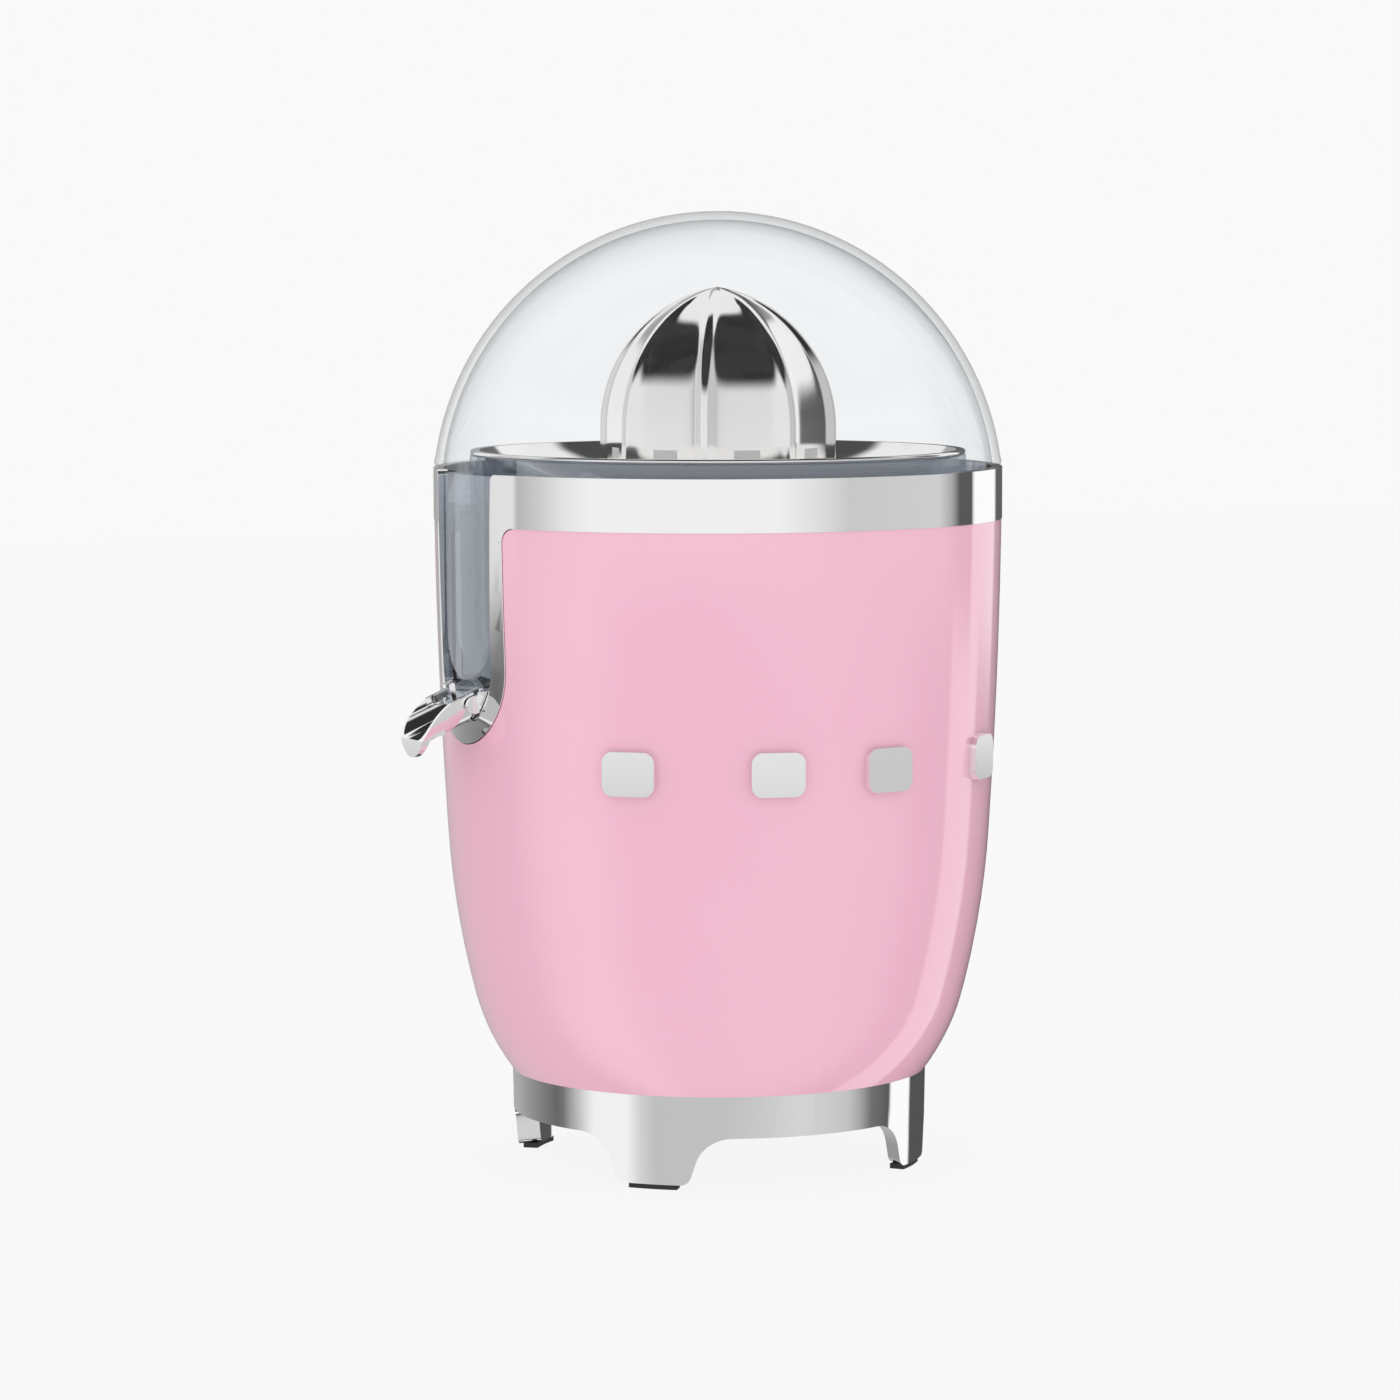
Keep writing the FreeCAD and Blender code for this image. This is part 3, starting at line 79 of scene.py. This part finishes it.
def link(tree, source, output, target, socket):
    """Join an output to an input, each by its name or its number."""
    tree.links.new(source.outputs[output], target.inputs[socket])


def object_noise(tree, scale, detail=3.0, stretch=(1.0, 1.0, 1.0)):
    """Noise in the object's own metres, stretched along chosen axes."""
    place = add(tree, "ShaderNodeTexCoord")
    mapping = add(tree, "ShaderNodeMapping")
    mapping.inputs["Scale"].default_value = stretch
    noise = add(tree, "ShaderNodeTexNoise", Scale=scale, Detail=detail)
    link(tree, place, "Object", mapping, "Vector")
    link(tree, mapping, "Vector", noise, "Vector")
    return noise


def ranged(tree, source, output, low, high):
    """A number between low and high that follows another node's 0 to 1 output."""
    node = add(tree, "ShaderNodeMapRange")
    node.inputs["To Min"].default_value = low
    node.inputs["To Max"].default_value = high
    link(tree, source, output, node, "Value")
    return node


def bump(tree, source, output, shader, strength, distance, socket="Normal"):
    """Fine relief from another node's output; distance is its height in metres."""
    node = add(tree, "ShaderNodeBump", Strength=strength, Distance=distance)
    link(tree, source, output, node, "Height")
    link(tree, node, "Normal", shader, socket)


def two_colours(tree, source, output, dark, light, shader):
    """Base colour that drifts between two close tones."""
    ramp = add(tree, "ShaderNodeValToRGB")
    ramp.color_ramp.elements[0].color = (*dark, 1.0)
    ramp.color_ramp.elements[1].color = (*light, 1.0)
    ramp.color_ramp.elements[0].position = 0.35
    ramp.color_ramp.elements[1].position = 0.65
    link(tree, source, output, ramp, "Fac")
    link(tree, ramp, "Color", shader, "Base Color")


# ---------------------------------------------------------------- materials
def metal(name, colour, rough_low, rough_high, grain, stretch=(1.0, 1.0, 1.0), depth=0.0):
    """Bare or plated metal with a fine variation in its polish."""
    material, tree, output = new_material(name)
    shader = add(tree, "ShaderNodeBsdfPrincipled", Metallic=1.0)
    shader.inputs["Base Color"].default_value = (*colour, 1.0)
    noise = object_noise(tree, grain, 3.0, stretch)
    rough = ranged(tree, noise, "Fac", rough_low, rough_high)
    link(tree, rough, "Result", shader, "Roughness")
    if depth:
        bump(tree, noise, "Fac", shader, 0.35, depth)
    link(tree, shader, "BSDF", output, "Surface")
    return material


def plastic(name, dark, light, roughness, grain=900.0):
    """Moulded plastic or rubber: two close tones and a fine moulded texture."""
    material, tree, output = new_material(name)
    shader = add(tree, "ShaderNodeBsdfPrincipled", Roughness=roughness)
    tone = object_noise(tree, 35.0, 2.0)
    two_colours(tree, tone, "Fac", dark, light, shader)
    texture = object_noise(tree, grain, 2.0)
    bump(tree, texture, "Fac", shader, 0.3, 0.00003)
    link(tree, shader, "BSDF", output, "Surface")
    return material


def enamel():
    """Glossy pastel enamel: an even colour under a clear coat with a faint orange peel."""
    material, tree, output = new_material("pink_enamel")
    shader = add(tree, "ShaderNodeBsdfPrincipled", Roughness=0.45)
    shader.inputs["Coat Weight"].default_value = 1.0
    shader.inputs["Coat Roughness"].default_value = 0.03
    shader.inputs["Coat IOR"].default_value = 1.7
    tone = object_noise(tree, 12.0, 2.0)
    two_colours(tree, tone, "Fac", (0.955, 0.505, 0.65), (0.97, 0.52, 0.665), shader)
    peel = object_noise(tree, 260.0, 1.0)
    bump(tree, peel, "Fac", shader, 0.05, 0.00002, "Coat Normal")
    link(tree, shader, "BSDF", output, "Surface")
    return material


def clear_film(name, tint, edge, least, most, haze=0.0):
    """Thin clear moulding: light passes straight through a tint, under the gloss of its surface.

    The gloss takes the share least of the light where it is seen square on, and most at its edges.
    Haze is the share that the moulding scatters as a pale blue.
    """
    material, tree, output = new_material(name)
    facing = add(tree, "ShaderNodeLayerWeight", Blend=0.5)
    ramp = add(tree, "ShaderNodeValToRGB")
    ramp.color_ramp.elements[0].color = (*tint, 1.0)
    ramp.color_ramp.elements[0].position = 0.3
    ramp.color_ramp.elements[1].color = (*edge, 1.0)
    link(tree, facing, "Facing", ramp, "Fac")
    clear = add(tree, "ShaderNodeBsdfTransparent")
    link(tree, ramp, "Color", clear, "Color")
    gloss = add(tree, "ShaderNodeBsdfGlossy", Roughness=0.015)
    steep = add(tree, "ShaderNodeMath", operation="POWER")
    steep.inputs[1].default_value = 5.0
    link(tree, facing, "Facing", steep, 0)
    share = ranged(tree, steep, 0, least, most)
    mix = add(tree, "ShaderNodeMixShader")
    link(tree, share, "Result", mix, 0)
    link(tree, clear, 0, mix, 1)
    link(tree, gloss, 0, mix, 2)
    veil = add(tree, "ShaderNodeBsdfDiffuse")
    veil.inputs["Color"].default_value = (0.86, 0.91, 0.97, 1.0)
    whole = add(tree, "ShaderNodeMixShader")
    whole.inputs[0].default_value = haze
    link(tree, mix, 0, whole, 1)
    link(tree, veil, 0, whole, 2)
    link(tree, whole, 0, output, "Surface")
    return material


def dress(material, *names):
    """Give carried-over nodes a material."""
    for name in names:
        mesh_object = nodes[name]
        if not mesh_object.material_slots:
            mesh_object.data.materials.append(material)
        for slot in mesh_object.material_slots:
            slot.link = "OBJECT"
            slot.material = material


EDGE_WIDTH = 0.0004     # of the broken edges on bright parts


def soften(width, *names):
    """Break the sharp edges of carried-over nodes, so that they catch the light."""
    for name in names:
        bevel = nodes[name].modifiers.new("broken_edges", "BEVEL")
        bevel.width = width
        bevel.segments = 2
        bevel.limit_method = "ANGLE"
        bevel.angle_limit = math.radians(40.0)
        bevel.harden_normals = False


def grid_mesh(name, rings):
    """A smooth mesh through closed rings of points, each ring with the same count."""
    mesh = bpy.data.meshes.new(name)
    count = len(rings[0])
    points = [point for ring in rings for point in ring]
    faces = []
    for row in range(len(rings) - 1):
        for column in range(count):
            after = (column + 1) % count
            faces.append((row * count + column, row * count + after,
                          (row + 1) * count + after, (row + 1) * count + column))
    mesh.from_pydata(points, [], faces)
    for polygon in mesh.polygons:
        polygon.use_smooth = True
    return mesh


# ---------------------------------------------------------------- the cone
# Heights of its foot, of the top of its upright skirt and of its apex.
REAMER_LOW, REAMER_SKIRT, REAMER_APEX = 0.2068, 0.2165, 0.2578
REAMER_RADIUS, REAMER_RIBS, REAMER_TURN = 0.0349, 8, math.radians(12.0)
# Half of a rib spans an angle plus a width, and at most a share of the ribs' spacing.
RIB_ANGLE, RIB_HALF_WIDTH, RIB_SHARE = math.radians(1.6), 0.001, 0.42
# The panels lie a groove's depth under the crests, and less so inside the second radius, near the apex.
GROOVE_DEPTH, GROOVE_FADE = 0.0012, 0.014
SMALLEST_CREST = 0.004


def reamer_point(angle, share):
    """Outer face of the cone: share is 0 at its foot and 1 at its apex.

    Its ribs stand on a crest line that is upright in the skirt and an arc above it. The panels between
    them are flat.
    """
    skirt = (REAMER_SKIRT - REAMER_LOW) / (REAMER_APEX - REAMER_LOW)
    height = REAMER_LOW + (REAMER_APEX - REAMER_LOW) * share
    if share < skirt:
        crest = REAMER_RADIUS
    else:
        rise = (share - skirt) / (1 - skirt)
        bend = REAMER_APEX - REAMER_SKIRT
        arc = (bend ** 2 + REAMER_RADIUS ** 2) / (2 * REAMER_RADIUS)
        crest = math.sqrt(max(arc ** 2 - (rise * bend) ** 2, 0.0)) - (arc - REAMER_RADIUS)
    step = 2 * math.pi / REAMER_RIBS
    off = (angle - REAMER_TURN + step / 2) % step - step / 2
    half = RIB_ANGLE + RIB_HALF_WIDTH / max(crest, SMALLEST_CREST)
    ridge = 1 / (1 + (abs(off) / min(half, step * RIB_SHARE)) ** 4)
    groove = GROOVE_DEPTH * min(1.0, crest / GROOVE_FADE)
    panel = (crest - groove) * math.cos(step / 2) / math.cos(step / 2 - abs(off))
    radius = panel + (crest - panel) * ridge
    return (radius * math.cos(angle), radius * math.sin(angle), height)


def reamer_skin():
    """Pressed cone with eight soft-edged ribs, flat panels between them and a turned-in foot."""
    around_count, up_count = 512, 120
    shares = [1 - (1 - row / up_count) ** 1.5 for row in range(up_count + 1)]
    angles = [2 * math.pi * column / around_count for column in range(around_count)]
    rings = [[reamer_point(angle, share) for angle in angles] for share in shares]
    inside, turn_in = 0.97, 0.006
    foot = [[(x * inside, y * inside, z + rise) for x, y, z in rings[0]] for rise in (turn_in, 0.0)]
    skin = bpy.data.objects.new("reamer_skin", grid_mesh("reamer_skin", foot + rings))
    bpy.context.scene.collection.objects.link(skin)
    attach(skin, "reamer")
    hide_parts("reamer_cone")
    return skin


# ---------------------------------------------------------------- every node's material
def dress_all():
    """Materials from the outside in; the cone's node gives way to its finished skin."""
    chrome = metal("bright_chrome", (0.96, 0.96, 0.965), 0.02, 0.05, 60.0)
    polished = metal("polished_steel", (0.93, 0.925, 0.92), 0.03, 0.07, 90.0)
    pressed = metal("pressed_steel", (0.92, 0.905, 0.89), 0.05, 0.11, 140.0, (1.0, 1.0, 0.15), 0.00001)
    dress(enamel(), "body_shell")
    dress(chrome, "base_ring", "slot_frame", *[f"badge_{number}" for number in range(1, 5)])
    dress(polished, "spout_channel", "spout_lip", "spout_pins")
    dress(pressed, "strainer")
    reamer_skin().data.materials.append(pressed)
    soften(EDGE_WIDTH, "slot_frame", "base_ring", *[f"badge_{number}" for number in range(1, 5)])
    dome = clear_film("clear_dome", (0.992, 0.996, 1.0), (0.975, 0.982, 0.99), 0.015, 0.5)
    bowl = clear_film("clear_bowl", (0.98, 0.987, 0.996), (0.9, 0.93, 0.965), 0.03, 0.5, haze=0.16)
    dress(dome, "lid_dome")
    dress(bowl, "juice_bowl")
    dress(plastic("black_rubber", (0.018, 0.018, 0.018), (0.03, 0.03, 0.03), 0.75, 500.0),
          "foot_pads", "spindle_seal", "spout_gasket", "cable_inlet")
    dress(plastic("white_moulding", (0.72, 0.74, 0.76), (0.76, 0.78, 0.8), 0.5), "well_liner")
    dress(plastic("grey_moulding", (0.38, 0.4, 0.42), (0.42, 0.44, 0.46), 0.5),
          "base_plate", "chassis", "gear_cover", "board_rail")
    dress(plastic("white_nylon", (0.78, 0.78, 0.75), (0.84, 0.84, 0.81), 0.4),
          "drive_hub", "reamer_bush", "wear_ring", "thrust_cup", "switch_plunger")
    dress(plastic("black_moulding", (0.02, 0.02, 0.022), (0.035, 0.035, 0.037), 0.45),
          "switch_case", "capacitor", "relay")
    dress(plastic("acetal_gear", (0.7, 0.69, 0.62), (0.76, 0.75, 0.69), 0.4),
          "idler_gear", "output_gear")
    dress(metal("machined_steel", (0.56, 0.56, 0.57), 0.25, 0.4, 200.0, (1.0, 1.0, 0.1), 0.00003),
          "spindle", "idler_pin", "motor_armature", "motor_can", "switch_bracket", "return_spring",
          "base_screws", "motor_screws")
    dress(metal("sintered_bronze", (0.6, 0.42, 0.2), 0.35, 0.5, 700.0, depth=0.00004),
          "motor_bushes", "spindle_bush_lower", "spindle_bush_upper", "motor_pinion")
    dress(plastic("ferrite", (0.03, 0.03, 0.032), (0.05, 0.05, 0.052), 0.6), "motor_field")
    dress(plastic("board_laminate", (0.012, 0.14, 0.05), (0.02, 0.2, 0.08), 0.45), "circuit_board")


# ---------------------------------------------------------------- studio
def around(azimuth, distance, height):
    """A point at an azimuth from the camera's own, in degrees: 90 is to the camera's right."""
    angle = CAMERA_AZIMUTH + math.radians(azimuth)
    return Vector((math.sin(angle) * distance, -math.cos(angle) * distance, height))


def make_camera():
    """Long lens in front of the badges, with the spout on its left, looking a little down."""
    data = bpy.data.cameras.new("camera")
    data.lens = CAMERA_LENS
    data.sensor_width = 36.0
    data.shift_x = CAMERA_SHIFT_X
    data.clip_end = 30.0
    camera = bpy.data.objects.new("camera", data)
    bpy.context.scene.collection.objects.link(camera)
    camera.location = around(0.0, CAMERA_DISTANCE, CAMERA_HEIGHT)
    camera.rotation_euler = (math.pi / 2 - CAMERA_PITCH, CAMERA_ROLL, CAMERA_AZIMUTH)
    bpy.context.scene.camera = camera


def make_floor():
    """Pale floor that glows as brightly as the backdrop, so the two meet without a line."""
    mesh = bpy.data.meshes.new("floor")
    reach = 3.0
    signs = ((-1, -1), (1, -1), (1, 1), (-1, 1))
    mesh.from_pydata([(x * reach, y * reach, 0.0) for x, y in signs], [], [(0, 1, 2, 3)])
    floor = bpy.data.objects.new("floor", mesh)
    bpy.context.scene.collection.objects.link(floor)
    floor.visible_glossy = False
    material, tree, output = new_material("pale_floor")
    shader = add(tree, "ShaderNodeBsdfPrincipled", Roughness=1.0)
    shader.inputs["Base Color"].default_value = (FLOOR_ALBEDO, FLOOR_ALBEDO, FLOOR_ALBEDO, 1.0)
    shader.inputs["Specular IOR Level"].default_value = 0.0
    shader.inputs["Emission Color"].default_value = (1.0, 1.0, 1.0, 1.0)
    shader.inputs["Emission Strength"].default_value = BACKDROP - FLOOR_ALBEDO
    link(tree, shader, "BSDF", output, "Surface")
    mesh.materials.append(material)


def turned_ramp(tree, source, output, walls):
    """Grey levels set round the studio; the first stands at -180 degrees and the last at 180."""
    ramp = add(tree, "ShaderNodeValToRGB")
    elements = ramp.color_ramp.elements
    for element, (_, level) in zip(elements, (walls[0], walls[-1])):
        element.color = (level, level, level, 1.0)
    for degrees, level in walls[1:-1]:
        elements.new((degrees + 180) / 360).color = (level, level, level, 1.0)
    link(tree, source, output, ramp, "Fac")
    return ramp


def below(tree, source, output, low, high):
    """1 under low, 0 over high and a soft change between them."""
    node = add(tree, "ShaderNodeMapRange", interpolation_type="SMOOTHSTEP")
    for name, value in (("From Min", low), ("From Max", high), ("To Min", 1.0), ("To Max", 0.0)):
        node.inputs[name].default_value = value
    link(tree, source, output, node, "Value")
    return node


def blend(tree, factor, inside, outside):
    """Grey level: inside where factor is 1, outside where it is 0. Each is a node or a number."""
    mix = add(tree, "ShaderNodeMix", data_type="FLOAT")
    link(tree, factor, 0, mix, 0)
    for socket, value in ((3, inside), (2, outside)):
        if isinstance(value, float):
            mix.inputs[socket].default_value = value
        else:
            link(tree, value, 0, mix, socket)
    return mix


# Soft boxes and flags round the studio at the collar's height and, lower down, at the base ring's:
# (degrees from the camera, brightness), + to the camera's right.
UPPER_WALLS = ((-180, 0.4), (-159, 0.4), (-156, 0.95), (-131, 0.95), (-128, 0.6), (-98, 0.78),
               (-90, 0.76), (-88, 0.48), (-76, 0.62), (-64, 0.8), (-52, 0.9), (24, 0.9), (40, 0.76),
               (54, 0.6), (100, 0.64), (108, 0.42), (114, 0.1), (124, 0.1), (126, 1.0), (150, 1.0),
               (153, 0.12), (180, 0.12))
LOWER_WALLS = ((-180, 0.45), (-150, 0.4), (-128, 0.28), (-103, 0.14), (-97, 0.18), (-84, 0.58),
               (-74, 0.9), (-53, 0.92), (-44, 0.65), (-36, 0.54), (5, 0.55), (46, 0.68), (76, 0.57),
               (85, 0.4), (94, 0.17), (110, 0.1), (112, 1.0), (132, 1.0), (135, 0.09), (180, 0.08))


# How steeply a reflection looks, from -1 straight down to 1 straight up, where one set of walls gives
# way to the other and the walls to the ceiling. The ceiling is a dark flag in front of the juicer and
# bright behind it.
LOWER_TO_UPPER = (-0.13, -0.08)
WALL_TO_CEILING = (0.42, 0.6)
BEHIND_TO_FRONT = (-0.32, -0.2)
CEILING_BEHIND, CEILING_FRONT = 0.95, 0.03


def make_world():
    """White studio: what shines sees soft boxes and flags, what is matt gets an even light."""
    world = bpy.data.worlds.new("studio")
    bpy.context.scene.world = world
    world.use_nodes = True
    tree = world.node_tree
    tree.nodes.clear()
    place = add(tree, "ShaderNodeTexCoord")
    turn = add(tree, "ShaderNodeMapping")
    turn.inputs["Rotation"].default_value = (0.0, 0.0, -CAMERA_AZIMUTH)
    link(tree, place, "Generated", turn, "Vector")
    split = add(tree, "ShaderNodeSeparateXYZ")
    link(tree, turn, "Vector", split, "Vector")
    front = add(tree, "ShaderNodeMath", operation="MULTIPLY")
    front.inputs[1].default_value = -1.0
    link(tree, split, "Y", front, 0)
    angle = add(tree, "ShaderNodeMath", operation="ARCTAN2")
    link(tree, split, "X", angle, 0)
    link(tree, front, 0, angle, 1)
    share = add(tree, "ShaderNodeMapRange")
    share.inputs["From Min"].default_value = -math.pi
    share.inputs["From Max"].default_value = math.pi
    link(tree, angle, 0, share, "Value")
    upper, lower = [turned_ramp(tree, share, "Result", walls) for walls in (UPPER_WALLS, LOWER_WALLS)]
    walls = blend(tree, below(tree, split, "Z", *LOWER_TO_UPPER), lower, upper)
    ceiling = blend(tree, below(tree, front, 0, *BEHIND_TO_FRONT), CEILING_BEHIND, CEILING_FRONT)
    shine = blend(tree, below(tree, split, "Z", *WALL_TO_CEILING), walls, ceiling)
    gloss = add(tree, "ShaderNodeBackground")
    link(tree, shine, 0, gloss, "Color")
    even = add(tree, "ShaderNodeBackground")
    even.inputs["Color"].default_value = (BACKDROP, BACKDROP, BACKDROP, 1.0)
    path = add(tree, "ShaderNodeLightPath")
    mix = add(tree, "ShaderNodeMixShader")
    link(tree, path, "Is Glossy Ray", mix, 0)
    link(tree, even, 0, mix, 1)
    link(tree, gloss, 0, mix, 2)
    output = add(tree, "ShaderNodeOutputWorld")
    link(tree, mix, 0, output, "Surface")


dress_all()
make_camera()
make_floor()
make_world()
scene = bpy.context.scene
scene.view_settings.view_transform = "Standard"
# A ray crosses the clear lid and bowl many times before it ends.
scene.cycles.transparent_max_bounces = 48
scene.cycles.max_bounces = 16
scene.cycles.glossy_bounces = 8
